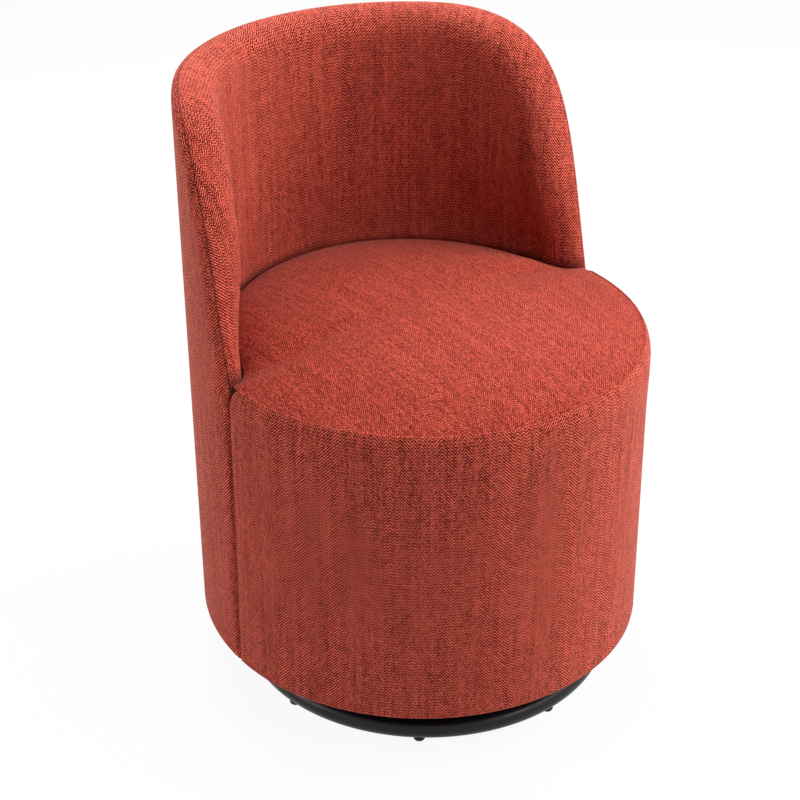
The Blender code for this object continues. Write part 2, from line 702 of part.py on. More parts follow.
def bearing_plate(name, flange, face, parent, steel):
    """A square flange with a pressed dish whose face carries the balls."""
    half = PLATE_WIDTH / 2
    cut = half - PLATE_CORNER
    outline = [(half, -cut), (half, cut), (cut, half), (-cut, half), (-half, cut), (-half, -cut),
               (-cut, -half), (cut, -half)]
    plate = piece(name, prism(outline, flange, flange + PLATE), steel, parent)
    top = face > flange
    skin = -PLATE if top else PLATE
    foot = BALL_CIRCLE + DISH_MARGIN + DISH_SLOPE
    opening = bmesh.new()
    bmesh.ops.create_cone(opening, cap_ends=True, segments=BEARING_SEGMENTS, radius1=foot, radius2=foot,
                          depth=2 * (PLATE + PAST), matrix=Matrix.Translation((0, 0, flange)))
    combine(plate, cutter(name + "_opening", opening, parent), "DIFFERENCE")
    low_lap = flange + DISH_BITE
    high_lap = flange + PLATE - DISH_BITE
    near, far = (high_lap, low_lap) if top else (low_lap, high_lap)
    shoulder = BALL_CIRCLE + DISH_MARGIN
    bore = RIVET_RADIUS + HOLE_GAP
    lap = foot + DISH_LAP
    dish = turned([(bore, face), (shoulder, face), (foot, near), (lap, near), (lap, far),
                   (foot - PLATE, far), (shoulder - PLATE, face + skin), (bore, face + skin)],
                  BEARING_SEGMENTS, ring=True)
    combine(plate, cutter(name + "_dish", dish, parent), "UNION")
    radius = (BOLT_RADIUS if top else SCREW_RADIUS) + HOLE_GAP
    drill(plate, radius, 2 * (PLATE + PAST), [Matrix.Translation((x, y, flange)) for x, y in bolt_places()])


def build_bearing(base, cage, seat, steel, plastic):
    """Two pressed plates riveted together at the centre, with a caged ring of balls between them."""
    bearing_plate("bearing_lower_plate", LOWER_FLANGE, BALL_Z - RACE_GAP, base, steel)
    bearing_plate("bearing_upper_plate", UPPER_FLANGE, BALL_Z + RACE_GAP, seat, steel)
    outside = RACE_GAP + PLATE + GAP
    low = BALL_Z - outside
    high = BALL_Z + outside
    piece("bearing_rivet", turned([(0, low - RIVET_HEAD), (RIVET_HEAD_RADIUS, low - RIVET_HEAD),
                                   (RIVET_HEAD_RADIUS, low), (RIVET_RADIUS, low), (RIVET_RADIUS, high),
                                   (RIVET_HEAD_RADIUS, high), (RIVET_HEAD_RADIUS, high + RIVET_HEAD),
                                   (0, high + RIVET_HEAD)], BEARING_SEGMENTS), steel, base)
    inner = BALL_CIRCLE - CAGE_WIDTH / 2
    outer = BALL_CIRCLE + CAGE_WIDTH / 2
    ring = piece("ball_cage", turned([(inner, BALL_Z - CAGE / 2), (outer, BALL_Z - CAGE / 2),
                                      (outer, BALL_Z + CAGE / 2), (inner, BALL_Z + CAGE / 2)],
                                     BEARING_SEGMENTS, ring=True), plastic, cage)
    balls = bmesh.new()
    for index in range(BALL_COUNT):
        turn = Matrix.Rotation(2 * pi * index / BALL_COUNT, 4, "Z")
        spot = turn @ Matrix.Translation((BALL_CIRCLE, 0, BALL_Z))
        bmesh.ops.create_uvsphere(balls, u_segments=BALL_SIDES, v_segments=BALL_SIDES // 2 + 1,
                                  radius=BALL_RADIUS, matrix=spot)
    combine(ring, cutter("balls", balls, cage), "UNION")


def build_bearing_fasteners(base, seat, steel):
    """Bolts with nuts through the lower plate and bars, and screws up into the bottom board."""
    seatings = LOWER_FLANGE + PLATE + GAP
    under = BAR_TOP - BAR - GAP
    bolt = turned([(0, under - NUT), (BOLT_HEAD_RADIUS, under - NUT), (BOLT_HEAD_RADIUS, under),
                   (BOLT_RADIUS, under), (BOLT_RADIUS, seatings), (BOLT_HEAD_RADIUS, seatings),
                   (BOLT_CROWN_RADIUS, seatings + BOLT_HEAD), (0, seatings + BOLT_HEAD)], FASTENER_SIDES)
    below = UPPER_FLANGE - GAP
    tip = BOARD_BOTTOM + SCREW_LENGTH - GAP
    screw = turned([(0, below - BOLT_HEAD), (BOLT_CROWN_RADIUS, below - BOLT_HEAD),
                    (BOLT_HEAD_RADIUS, below), (SCREW_RADIUS, below), (SCREW_RADIUS, tip), (0, tip)],
                   FASTENER_SIDES)
    for index, (x, y) in enumerate(bolt_places(), 1):
        spot = Matrix.Translation((x, y, 0))
        bolt = piece(f"base_bolt_{index}", bolt, steel, base, place=spot).data
        screw = piece(f"plate_screw_{index}", screw, steel, seat, place=spot).data


def build_chair():
    clear_scene()
    fabric = finish("coral_weave", (0.52, 0.12, 0.07), 0.9)
    foam = finish("seat_foam", (0.86, 0.80, 0.62), 0.95)
    plywood = finish("plywood", (0.62, 0.45, 0.27), 0.7)
    wood = finish("pine", (0.70, 0.52, 0.32), 0.7)
    cloth = finish("dust_cloth", (0.03, 0.03, 0.03), 0.95)
    webbing = finish("webbing", (0.10, 0.09, 0.08), 0.85)
    paint = finish("black_paint", (0.012, 0.012, 0.012), 0.25, 0.2)
    plastic = finish("black_plastic", (0.015, 0.015, 0.015), 0.45)
    steel = finish("zinc_steel", (0.62, 0.62, 0.60), 0.35, 1.0)
    base = pivot("base_axis", DRUM_Y + SWIVEL_SHIFT)
    cage = pivot("cage_axis", DRUM_Y + SWIVEL_SHIFT)
    plate = pivot("plate_axis", DRUM_Y + SWIVEL_SHIFT)
    seat = pivot("drum_axis", DRUM_Y)
    build_base(base, paint, plastic)
    build_bearing(base, cage, plate, steel, plastic)
    build_bearing_fasteners(base, plate, steel)
    build_frame(seat, plywood, wood, cloth)
    build_straps(seat, webbing)
    build_drum_upholstery(seat, fabric, foam)
    build_seat(seat, fabric, foam)
    build_back(seat, fabric, foam, plywood)
    build_back_bolts(seat, steel)


build_chair()
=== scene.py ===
"""Looks of the swivel barrel chair: padded upholstery, ring base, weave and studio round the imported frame."""

import json
from math import atan2, cos, hypot, pi, radians, sin, sqrt

import bmesh
import bpy
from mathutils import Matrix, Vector, kdtree
from mathutils.geometry import interpolate_bezier


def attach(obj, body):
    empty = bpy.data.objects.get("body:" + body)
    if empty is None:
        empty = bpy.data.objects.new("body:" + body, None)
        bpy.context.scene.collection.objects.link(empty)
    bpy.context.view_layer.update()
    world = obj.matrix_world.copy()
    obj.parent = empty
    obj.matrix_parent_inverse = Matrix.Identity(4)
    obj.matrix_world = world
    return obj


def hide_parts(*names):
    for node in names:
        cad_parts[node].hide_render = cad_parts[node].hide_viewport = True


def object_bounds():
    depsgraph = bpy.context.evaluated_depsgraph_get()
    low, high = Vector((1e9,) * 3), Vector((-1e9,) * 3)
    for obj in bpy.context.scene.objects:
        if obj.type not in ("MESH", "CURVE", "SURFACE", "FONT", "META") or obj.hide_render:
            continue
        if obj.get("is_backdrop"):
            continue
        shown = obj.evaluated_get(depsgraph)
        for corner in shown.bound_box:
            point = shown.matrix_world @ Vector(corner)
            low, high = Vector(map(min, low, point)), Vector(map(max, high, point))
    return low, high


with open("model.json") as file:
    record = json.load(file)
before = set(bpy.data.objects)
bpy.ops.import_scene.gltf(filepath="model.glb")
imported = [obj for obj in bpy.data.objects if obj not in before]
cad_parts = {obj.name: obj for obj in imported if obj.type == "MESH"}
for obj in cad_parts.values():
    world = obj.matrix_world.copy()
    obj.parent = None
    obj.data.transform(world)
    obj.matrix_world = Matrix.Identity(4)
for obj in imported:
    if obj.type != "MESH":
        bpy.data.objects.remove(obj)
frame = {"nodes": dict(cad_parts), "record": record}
cad_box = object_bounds()

# Sizes of the frame, in metres
DRUM_AXIS = Vector((0, -0.014, 0))
SWIVEL_AXIS = Vector((0, -0.023, 0))
HALF_WIDTH = 0.280
BACK_REACH = 0.304
HEIGHT = 0.765
FLARE = 0.0105
BACK_THICKNESS = 0.046
SKIRT = 0.064
HEM = 0.040
DRUM_RADIUS = 0.276
SEAM_HEIGHT = 0.449
SEAM_ROLL = 0.024
SEAM_INSET = 0.0076
RIM_SWELL = 0.0012
CROWN_RISE = 0.040
DECK_TOP = 0.4203
EDGE_ANGLE = radians(88.2)
EDGE_FOOT_HEIGHT = 0.440
EDGE_LEAN = radians(44.4)
EDGE_FOOT_PULL = 0.210
TOP_ANGLE = radians(43.0)
TOP_PULL = radians(37.5)
BAND_ROUND = 0.046
BAND_NOSE = 0.0105
BAND_POWER = 2.1
RING_RADIUS = 0.2225
TUBE_RADIUS = 0.0125
GLIDE_HEIGHT = 0.0052
GLIDE_RADIUS = 0.0075
GLIDE_SOLE_RADIUS = 0.004
GLIDE_DOME = 0.0042
GLIDE_LAP = 0.0022
GLIDE_TURN = radians(5.6)

# Half the groove that a sewn edge leaves, the crevice between seat and back, and how high its shade reaches
GROOVE = 0.0008
CREVICE = 0.0009
SHADE_HEIGHT = 0.016

# The seat's crown rises over this reach from its sewn edge; its grid is round inside the core
CROWN_REACH = 0.25
SEAT_CORE = 0.236
SEAT_WEAVE_SCALE = 1.22

# The drum's front panel: padding, rounded upper corners at its ends, and where its hem meets the wall
DRUM_PADDING = 0.0115
DRUM_CORNER = 0.016
HEM_TOP = SKIRT + 0.006

# Where every lamp points
LAMP_AIM = (0, 0, 0.42)


def smooth(value):
    """An eased step from 0 to 1."""
    value = min(max(value, 0.0), 1.0)
    return value * value * (3 - 2 * value)


def skin(name, columns, rows, outside, inside, weave, painted_seam_shade, body):
    """A closed padded skin: a bent grid for the cloth, extruded to the side that lies on the frame.

    weave gives the cloth's own flat position at each column and row, in metres, for the UV map, and the
    function after it gives how much painted shade darkens the cloth in a seam there, from 0 to 1.
    """
    shape = bmesh.new()
    marks = [shape.verts.layers.int.new(mark) for mark in ("column", "row", "hidden")]
    painted_shade = shape.verts.layers.float.new("painted_seam_shade")
    made = bmesh.ops.create_grid(shape, x_segments=columns, y_segments=rows, size=0.5)["verts"]
    for vert in made:
        vert[marks[0]] = round((vert.co.x + 0.5) * columns)
        vert[marks[1]] = round((vert.co.y + 0.5) * rows)
    for vert in made:
        # Painted shade: how dark each point of the cloth is painted in its seams
        vert[painted_shade] = painted_seam_shade(vert[marks[0]], vert[marks[1]])
    raised = bmesh.ops.extrude_face_region(shape, geom=shape.faces[:])["geom"]
    for item in raised:
        if isinstance(item, bmesh.types.BMVert):
            item[marks[2]] = 1
    for vert in shape.verts:
        place = inside if vert[marks[2]] else outside
        vert.co = place(vert[marks[0]], vert[marks[1]])
    flat = shape.loops.layers.uv.new("weave")
    for face in shape.faces:
        for loop in face.loops:
            loop[flat].uv = weave(loop.vert[marks[0]], loop.vert[marks[1]])
    bmesh.ops.recalc_face_normals(shape, faces=shape.faces[:])
    return upholstered(name, shape, body)


def upholstered(name, shape, body):
    """Put a finished shape into the scene as a smooth piece on one body."""
    mesh = bpy.data.meshes.new(name)
    shape.to_mesh(mesh)
    shape.free()
    mesh.shade_smooth()
    made = bpy.data.objects.new(name, mesh)
    bpy.context.collection.objects.link(made)
    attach(made, body)
    return made


def plump(made, held, pressure, cap, frames=14):
    """Let the cloth of a piece swell against its seams, and keep the result in its mesh."""
    mesh = made.data
    before = [vert.co.copy() for vert in mesh.vertices]
    sewn = made.vertex_groups.new(name="sewn")
    for vert in mesh.vertices:
        sewn.add([vert.index], held(vert), "REPLACE")
    swell = made.modifiers.new("swell", "CLOTH")
    swell.settings.quality = 5
    swell.settings.mass = 0.3
    swell.settings.tension_stiffness = 30
    swell.settings.compression_stiffness = 30
    swell.settings.shear_stiffness = 12
    swell.settings.bending_stiffness = 2
    swell.settings.use_pressure = True
    swell.settings.uniform_pressure_force = pressure
    swell.settings.effector_weights.gravity = 0
    swell.settings.vertex_group_mass = "sewn"
    swell.point_cache.frame_start = 1
    swell.point_cache.frame_end = frames
    scene = bpy.context.scene
    for step in range(1, frames + 1):
        scene.frame_set(step)
    shaped = made.evaluated_get(bpy.context.evaluated_depsgraph_get())
    after = [vert.co.copy() for vert in shaped.data.vertices]
    made.modifiers.remove(swell)
    made.vertex_groups.remove(sewn)
    scene.frame_set(1)
    for vert, old, new in zip(mesh.vertices, before, after):
        move = new - old
        length = move.length
        vert.co = old + move * (cap / (cap + length))
    mesh.update()


def back_normal(angle, z):
    half_width = HALF_WIDTH + (z - SEAM_HEIGHT) * FLARE
    half_depth = BACK_REACH + (z - HEIGHT) * FLARE
    return Vector((half_depth * sin(angle), half_width * cos(angle), 0)).normalized()


def back_point(angle, z, depth):
    """A point of the back at an angle from the rear, a depth inside its flaring outer face."""
    half_width = HALF_WIDTH + (z - SEAM_HEIGHT) * FLARE
    half_depth = BACK_REACH + (z - HEIGHT) * FLARE
    face = Vector((half_width * sin(angle), half_depth * cos(angle), z))
    return DRUM_AXIS + face - depth * back_normal(angle, z)


BACK_RADIUS = (HALF_WIDTH + BACK_REACH) / 2


def back_edge(corner_steps, top_steps):
    """The back's edge from its right foot over the top to its left foot: angle, height, outward way."""
    foot = Vector((EDGE_ANGLE, EDGE_FOOT_HEIGHT))
    lean = Vector((-EDGE_LEAN * EDGE_FOOT_PULL, EDGE_FOOT_PULL))
    top = Vector((TOP_ANGLE, HEIGHT))
    curve = interpolate_bezier(foot, foot + lean, top + Vector((TOP_PULL, 0)), top, corner_steps + 1)
    right = []
    for index, point in enumerate(curve[:-1]):
        step = curve[index + 1] - curve[max(index - 1, 0)]
        run = Vector((step.x * BACK_RADIUS, step.y)).normalized()
        right.append((point.x, point.y, Vector((run.y / BACK_RADIUS, -run.x))))
    up = Vector((0, 1))
    flat = [(TOP_ANGLE * (1 - 2 * i / top_steps), HEIGHT, up) for i in range(top_steps + 1)]
    left = [(-angle, z, Vector((-out.x, out.y))) for angle, z, out in reversed(right)]
    return right + flat + left


EDGE = back_edge(44, 56)


def fullness(angle, z):
    """How thick the padded back is: plump above the seat, most on the wings, thin at their feet."""
    turn = abs(angle)
    lift = smooth((z - 0.465) / 0.135)
    wing = smooth((turn - radians(35)) / radians(35))
    foot = smooth((turn - radians(70)) / radians(16))
    return BACK_THICKNESS + lift * (0.003 + 0.007 * wing) - 0.006 * foot * (1 - lift)


def band_round(z):
    """How far the roll over the back's edge reaches into its inner face."""
    return BAND_ROUND - 0.012 * smooth((z - 0.48) / 0.14)


def lengths(profile):
    """The distance along a profile of points at each of them."""
    run = [0.0]
    for before, after in zip(profile, profile[1:]):
        run.append(run[-1] + hypot(after[0] - before[0], after[1] - before[1]))
    return run


def arc(middle, radius, start, end, steps):
    """Points on a round corner of a profile, from one angle to another."""
    turns = [start + (end - start) * i / steps for i in range(steps + 1)]
    return [(middle[0] + radius * cos(a), middle[1] + radius * sin(a)) for a in turns]


def between(first, second, share):
    return first[0] + (second[0] - first[0]) * share, first[1] + (second[1] - first[1]) * share


def back_panel(name, profile, lining, bottom, hem, face_rows, swollen=None):
    """A padded panel of the back whose cloth rolls over the back's edge.

    The profile's (inset, depth) points lead from the panel's face over the edge into the seam, and the
    lining's follow them on the hidden side. The hem's (height, depth) points lead up to the face's foot.
    A swollen panel gives its own (inset, depth) for a point of the profile at an angle and height.
    """
    turns = len(profile) - 1
    hem_run = lengths([*hem, (bottom, profile[0][1])])
    low = len(hem)
    columns = len(EDGE) - 1 + 2 * turns
    radius = BACK_RADIUS - profile[0][1]

    def where(column, row):
        spot = min(max(column - turns, 0), len(EDGE) - 1)
        ring = max(abs(column - turns - spot), row - low - face_rows, 0)
        return EDGE[spot], ring, min((row - low) / face_rows, 1.0)

    def rolled(over, ring, angle, z, height):
        return swollen(ring, angle, z, height) if swollen and over is profile else over[ring]

    def place(column, row, over):
        (angle, z, out), ring, share = where(column, row)
        level = bottom + (z - bottom) * min(max(share, 0), 1)
        inset, depth = rolled(over, ring, angle, z, level)
        if row < low:
            height, hem_depth = hem[row]
            if over is lining:
                height += 0.0015
            return back_point(angle - inset * out.x, height, max(depth, hem_depth))
        top = z - (inset if share == 1.0 else rolled(over, 0, angle, z, level)[0]) * out.y
        return back_point(angle - inset * out.x, bottom + (top - bottom) * share, depth)

    def weave(column, row):
        (angle, z, out), ring, share = where(column, row)
        start = rolled(profile, 0, angle, z, z)[0]
        run = lengths([rolled(profile, i, angle, z, z) for i in range(ring + 1)])[-1]
        u = (angle - start * out.x) * radius + run * out.x * BACK_RADIUS
        if row < low:
            return u, bottom - (hem_run[-1] - hem_run[row])
        v = bottom + (z - start * out.y - bottom) * share
        return u, v + (run * out.y if share == 1.0 else 0.0)

    def painted_seam_shade(column, row):
        # Painted shade: half dark on the rows rolled into the seam, and on the swollen inner panel dark just
        # above the seat, fading upwards over SHADE_HEIGHT
        ring = where(column, row)[1]
        sewn = 0.5 * smooth((ring - turns + 4) / 3)
        height = place(column, row, profile).z
        return max(sewn, 1 - smooth((height - SEAM_HEIGHT) / SHADE_HEIGHT)) if swollen else sewn

    made = skin(name, columns, low + face_rows + turns, lambda c, r: place(c, r, profile),
                lambda c, r: place(c, r, lining), weave, painted_seam_shade, "seat")
    return made


def back_inside():
    """The padded inner panel: a soft roll over the back's edge, sewn at the outer corner."""
    turns = [pi / 2 * (1 - i / 16) for i in range(17)]
    share = [(1 - max(cos(a), 0) ** (2 / BAND_POWER), sin(a) ** (2 / BAND_POWER)) for a in turns]
    seam = [(0.0002, 0.0098), (0.0007, 0.0090), (0.0015, 0.0084), (0.0026, 0.0082), (0.0040, 0.0086)]
    profile = [(BAND_ROUND * u, BAND_NOSE + (BACK_THICKNESS - BAND_NOSE) * w) for u, w in share] + seam

    def swollen(ring, angle, z, height):
        if ring >= len(share):
            return profile[ring]
        u, w = share[ring]
        return band_round(z) * u, BAND_NOSE + (fullness(angle, height) - BAND_NOSE) * w

    half = len(profile) // 2
    lining = [between((0.050, 0.0195), (0.0115, 0.0195), i / half) for i in range(half)]
    lining += [between((0.0115, 0.0195), (0.0085, 0.0100), i / (len(profile) - half - 1))
               for i in range(len(profile) - half)]
    hem = [(DECK_TOP + 0.001, 0.030)]
    made = back_panel("back_inside", profile, lining, DECK_TOP + 0.004, hem, 56, swollen)
    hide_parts("back_inner_cover", "back_inner_foam")
    return made


def back_outside():
    """The outer panel, from its hem under the drum up to the seam along the back's edge."""
    profile = [(0.0150, 0), (0.0110, 0.0002), (0.0080, 0.0008), (0.0054, 0.0018), (0.0034, 0.0032),
               (0.0021, 0.0049), (0.0015, 0.0066), (0.0016, 0.0078), (0.0023, 0.0092), (0.0026, 0.0130)]
    lining = [between((0.0160, 0.0068), (0.0075, 0.0135), i / 9) for i in range(10)]
    hem = [(SKIRT, HEM), (SKIRT, 0.020), (SKIRT, 0.008), (SKIRT + 0.0003, 0.0045), (SKIRT + 0.0014, 0.0020),
           (SKIRT + 0.0034, 0.0005)]
    made = back_panel("back_outside", profile, lining, HEM_TOP, hem, 72)
    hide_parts("back_outer_cover", "back_outer_foam")
    return made


def drum_front():
    """The drum's front panel: hem below, a rolled top edge at the seat's seam, rolled ends at the back."""
    side = [(-0.0060, 0.0088), (-0.0030, 0.0088), (-0.0014, 0.0076), (-0.0007, 0.0052), (-0.0003, 0.0030),
            (0.0006, 0.0013), (0.0022, 0.0004)]
    hem = [(HEM, SKIRT), (0.020, SKIRT), (0.008, SKIRT), (0.0045, SKIRT + 0.0003), (0.0020, SKIRT + 0.0014),
           (0.0005, SKIRT + 0.0034), (0.0, HEM_TOP)]
    wall_top = SEAM_HEIGHT - SEAM_ROLL
    wall = [(0.0, HEM_TOP + (wall_top - HEM_TOP) * i / 60) for i in range(1, 61)]
    bends = [i * pi / 20 for i in range(1, 8)]
    roll = [(SEAM_INSET * (1 - cos(a)), wall_top + SEAM_ROLL * sin(a)) for a in bends]
    roll += [(SEAM_INSET + x, SEAM_HEIGHT + z) for x, z in (
        (-0.0026, -0.0010), (-0.0019, 0.0002), (-0.0010, 0.0009), (0.0, 0.0010), (0.0008, 0.0005),
        (0.0012, -0.0005), (0.0014, -0.0022), (0.0014, -0.0060))]
    profile = hem + wall + roll
    run = lengths(profile)
    half = 90
    columns = 2 * half + 2 * len(side)
    start = (0.0011 - BACK_REACH * cos(EDGE_ANGLE)) / DRUM_RADIUS
    reach = pi - 2 * start

    def turn_at(column):
        """Distance from the panel's end along the drum, the sinking there, and the angle round the drum."""
        near = min(column, columns - column)
        if near < len(side):
            along, sunk = side[near]
        else:
            along = 0.0050 + (reach * DRUM_RADIUS / 2 - 0.0050) * (near - len(side)) / half
            sunk = 0.0
        turn = along / DRUM_RADIUS
        return along, sunk, start + turn if column <= columns / 2 else start + reach - turn

    def outside(column, row):
        inset, z = profile[row]
        along, sunk, angle = turn_at(column)
        short = max(DRUM_CORNER - max(along, 0), 0)
        drop = DRUM_CORNER - sqrt(max(DRUM_CORNER ** 2 - short ** 2, 0))
        height = z - drop * smooth((z - 0.41) / 0.045)
        swell = RIM_SWELL * smooth((z - 0.355) / 0.065) * smooth((along - 0.02) / 0.12)
        radius = DRUM_RADIUS + swell - max(inset, sunk)
        return DRUM_AXIS + Vector((radius * cos(angle), -radius * sin(angle), height))

    def inside(column, row):
        spot = outside(column, row) - DRUM_AXIS
        shrink = min(1.0, (DRUM_RADIUS - DRUM_PADDING) / hypot(spot.x, spot.y))
        height = min(max(spot.z, SKIRT + 0.0015), SEAM_HEIGHT - 0.012 + row * 0.00002)
        return DRUM_AXIS + Vector((spot.x * shrink, spot.y * shrink, height))

    def weave(column, row):
        along = turn_at(column)[0]
        across = reach * DRUM_RADIUS / 2 - along
        return across if column > columns / 2 else -across, run[row]

    def painted_seam_shade(column, row):
        # Painted shade: dark on the top rows rolled into the seat's seam and on the sunk ends in the groove
        # against the back
        sewn = smooth((row - len(profile) + 5) / 2)
        return max(sewn, smooth((turn_at(column)[1] - 0.0008) / 0.0025))

    made = skin("drum_front", columns, len(profile) - 1, outside, inside, weave, painted_seam_shade, "seat")
    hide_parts("drum_cover", "drum_foam")
    return made


def seat_reach(angle):
    """How far the seat's sewn edge lies from the drum's axis, at an angle from the rear."""
    turn = abs(angle)
    foot = EDGE_ANGLE - 0.0030 / BACK_RADIUS
    rim = RIM_SWELL * smooth(((turn - foot) * DRUM_RADIUS - 0.02) / 0.12)
    front = DRUM_RADIUS + rim - SEAM_INSET - GROOVE
    if turn >= foot:
        return front
    inset = min((foot - turn) * BACK_RADIUS / BAND_ROUND, 1)
    sunk = (1 - (1 - inset) ** BAND_POWER) ** (1 / BAND_POWER)
    depth = BAND_NOSE + (fullness(turn, SEAM_HEIGHT) - BAND_NOSE) * sunk + CREVICE
    half_depth = BACK_REACH - depth + (SEAM_HEIGHT - HEIGHT) * FLARE
    return min(front, 1 / hypot(sin(turn) / (HALF_WIDTH - depth), cos(turn) / half_depth))


def seat_pad():
    """The crowned seat, sewn to the drum in front and tucked down inside the back behind."""
    even = [pi * i / 90 for i in range(91)]
    close = [radians(76 + 0.5 * i) for i in range(32)]
    half = sorted({round(a, 5) for a in even + close})
    angles = [-a for a in reversed(half[1:-1])] + half
    columns = len(angles)
    rings = [sin(i / 46 * pi / 2) for i in range(47)]
    tuck = [(0.0004, -0.0006), (0.0010, -0.0022), (0.0012, -0.0060), (0.0012, -0.0220)]
    rows = len(rings) - 1 + len(tuck)
    outline = kdtree.KDTree(7200)
    for index in range(7200):
        angle = -pi + 2 * pi * index / 7200
        outline.insert(seat_reach(angle) * Vector((sin(angle), cos(angle), 0)), index)
    outline.balance()

    def crown(spot):
        """Height over the seam by the distance from the sewn edge: full behind, flatter beside the wings."""
        share = max(1 - outline.find(spot)[2] / CROWN_REACH, 0.0)
        turn = abs(atan2(spot.x, spot.y))
        beside = smooth((turn - radians(77)) / radians(12))
        flat = beside * (1 - 0.6 * smooth((turn - radians(130)) / radians(40)))
        full = max(1 - share ** 3.4, 0.0) ** 0.75
        return CROWN_RISE * (full + (1 - share ** 2.4 - full) * flat)

    def outside(column, row):
        angle = angles[column % columns]
        way = Vector((sin(angle), cos(angle), 0))
        if row < len(rings):
            share = rings[row]
            edge = smooth((share - 0.55) / 0.45)
            radius = share * (SEAT_CORE * (1 - edge) + seat_reach(angle) * edge)
            height = crown(radius * way) if row < len(rings) - 1 else 0.0
        else:
            inset, height = tuck[row - len(rings)]
            radius = seat_reach(angle) - inset
        return DRUM_AXIS + radius * way + Vector((0, 0, SEAM_HEIGHT + height))

    shape = bmesh.new()
    marks = [shape.verts.layers.int.new(mark) for mark in ("column", "row")]
    made = bmesh.ops.create_grid(shape, x_segments=columns, y_segments=rows, size=0.5)["verts"]
    for vert in made:
        vert[marks[0]] = round((vert.co.x + 0.5) * columns)
        vert[marks[1]] = round((vert.co.y + 0.5) * rows)
        vert.co = outside(vert[marks[0]], vert[marks[1]])
    bmesh.ops.remove_doubles(shape, verts=made, dist=0.00001)
    rim = [edge for edge in shape.edges if edge.is_boundary]
    bmesh.ops.contextual_create(shape, geom=rim)
    calm = shape.verts.layers.float.new("calm")
    painted_shade = shape.verts.layers.float.new("painted_seam_shade")
    for vert in shape.verts:
        vert[calm] = 1.0
        # Painted shade on the tuck, dark below the seam where the cloth goes down into the crevice
        vert[painted_shade] = smooth((SEAM_HEIGHT - vert.co.z) / 0.002)
    flat = shape.loops.layers.uv.new("weave")
    for face in shape.faces:
        for loop in face.loops:
            spot = loop.vert.co
            stretch = SEAT_WEAVE_SCALE + max(SEAM_HEIGHT - spot.z, 0) / 0.25
            loop[flat].uv = (spot.x * stretch, (spot.y - DRUM_AXIS.y) * stretch)
    bmesh.ops.recalc_face_normals(shape, faces=shape.faces[:])
    pad = upholstered("seat_pad", shape, "seat")
    plump(pad, lambda vert: 1.0 if vert.co.z < SEAM_HEIGHT + 0.004 else 0.0, 1.5, 0.004)
    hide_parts("seat_cover", "seat_foam")
    return pad


def turned_piece(name, profile, steps, axis, body, closed=False, places=((0, 0, 0),)):
    """A profile of (radius, height) points spun round an upright axis, once for each place."""
    shape = bmesh.new()
    for place in places:
        middle = (axis.x + place[0], axis.y + place[1], 0)
        points = [shape.verts.new((middle[0] + radius, middle[1], z)) for radius, z in profile]
        ends = points[1:] + points[:1] if closed else points[1:]
        lines = [shape.edges.new(pair) for pair in zip(points, ends)]
        bmesh.ops.spin(shape, geom=points + lines, axis=(0, 0, 1), cent=middle, angle=2 * pi, steps=steps,
                       use_merge=True)
    bmesh.ops.remove_doubles(shape, verts=shape.verts[:], dist=0.00001)
    bmesh.ops.recalc_face_normals(shape, faces=shape.faces[:])
    return upholstered(name, shape, body)


def base_ring():
    middle = GLIDE_HEIGHT + TUBE_RADIUS
    tube = [(RING_RADIUS + x, middle + z) for x, z in arc((0, 0), TUBE_RADIUS, 0, 2 * pi, 32)[:-1]]
    ring = turned_piece("ring_tube", tube, 144, SWIVEL_AXIS, "base", closed=True)
    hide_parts("base_ring")
    flare = GLIDE_RADIUS - GLIDE_SOLE_RADIUS
    dome = [(0.0001, 0)]
    for bend in (i * pi / 16 for i in range(9)):
        dome.append((GLIDE_SOLE_RADIUS + flare * sin(bend), GLIDE_DOME * (1 - cos(bend))))
    dome += [(GLIDE_RADIUS, GLIDE_HEIGHT + GLIDE_LAP), (0.0001, GLIDE_HEIGHT + GLIDE_LAP)]
    turns = [GLIDE_TURN + i * pi / 4 for i in range(8)]
    places = [(RING_RADIUS * cos(turn), RING_RADIUS * sin(turn)) for turn in turns]
    feet = turned_piece("glide_feet", dome, 24, SWIVEL_AXIS, "base", places=places)
    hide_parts(*[f"glide_{i}" for i in range(1, 9)])
    return ring, feet


def material(name):
    """A new material with its Principled shader and node tree."""
    made = bpy.data.materials.new(name)
    made.use_nodes = True
    return made, made.node_tree, made.node_tree.nodes["Principled BSDF"]


def put(tree, kind, *sources, **settings):
    """Add a node, set its options, and feed its inputs in order with sockets or plain values."""
    made = tree.nodes.new(kind)
    for key, value in settings.items():
        setattr(made, key, value)
    for index, source in enumerate(sources):
        if source is None:
            continue
        if isinstance(source, bpy.types.NodeSocket):
            tree.links.new(source, made.inputs[index])
        else:
            made.inputs[index].default_value = source
    return made


def calc(tree, operation, *sources):
    return put(tree, "ShaderNodeMath", *sources, operation=operation).outputs[0]


def blend_colour(tree, share, first, second):
    """A colour between two, by a share from 0 to 1."""
    made = tree.nodes.new("ShaderNodeMix")
    made.data_type = "RGBA"
    for index, source in ((0, share), (6, first), (7, second)):
        if isinstance(source, bpy.types.NodeSocket):
            tree.links.new(source, made.inputs[index])
        else:
            made.inputs[index].default_value = source
    return made.outputs[2]


def ease(tree, value, low, high, start=0.0, end=1.0):
    """Map a value from one span to another with soft ends."""
    made = put(tree, "ShaderNodeMapRange", value, low, high, start, end, interpolation_type="SMOOTHSTEP")
    return made.outputs[0]


def vector(tree, operation, *sources):
    return put(tree, "ShaderNodeVectorMath", *sources, operation=operation).outputs[0]


def wave(tree, value):
    """A zigzag from 0 to 1 and back for each whole step of a value."""
    return calc(tree, "MULTIPLY", calc(tree, "PINGPONG", value, 0.5), 2.0)


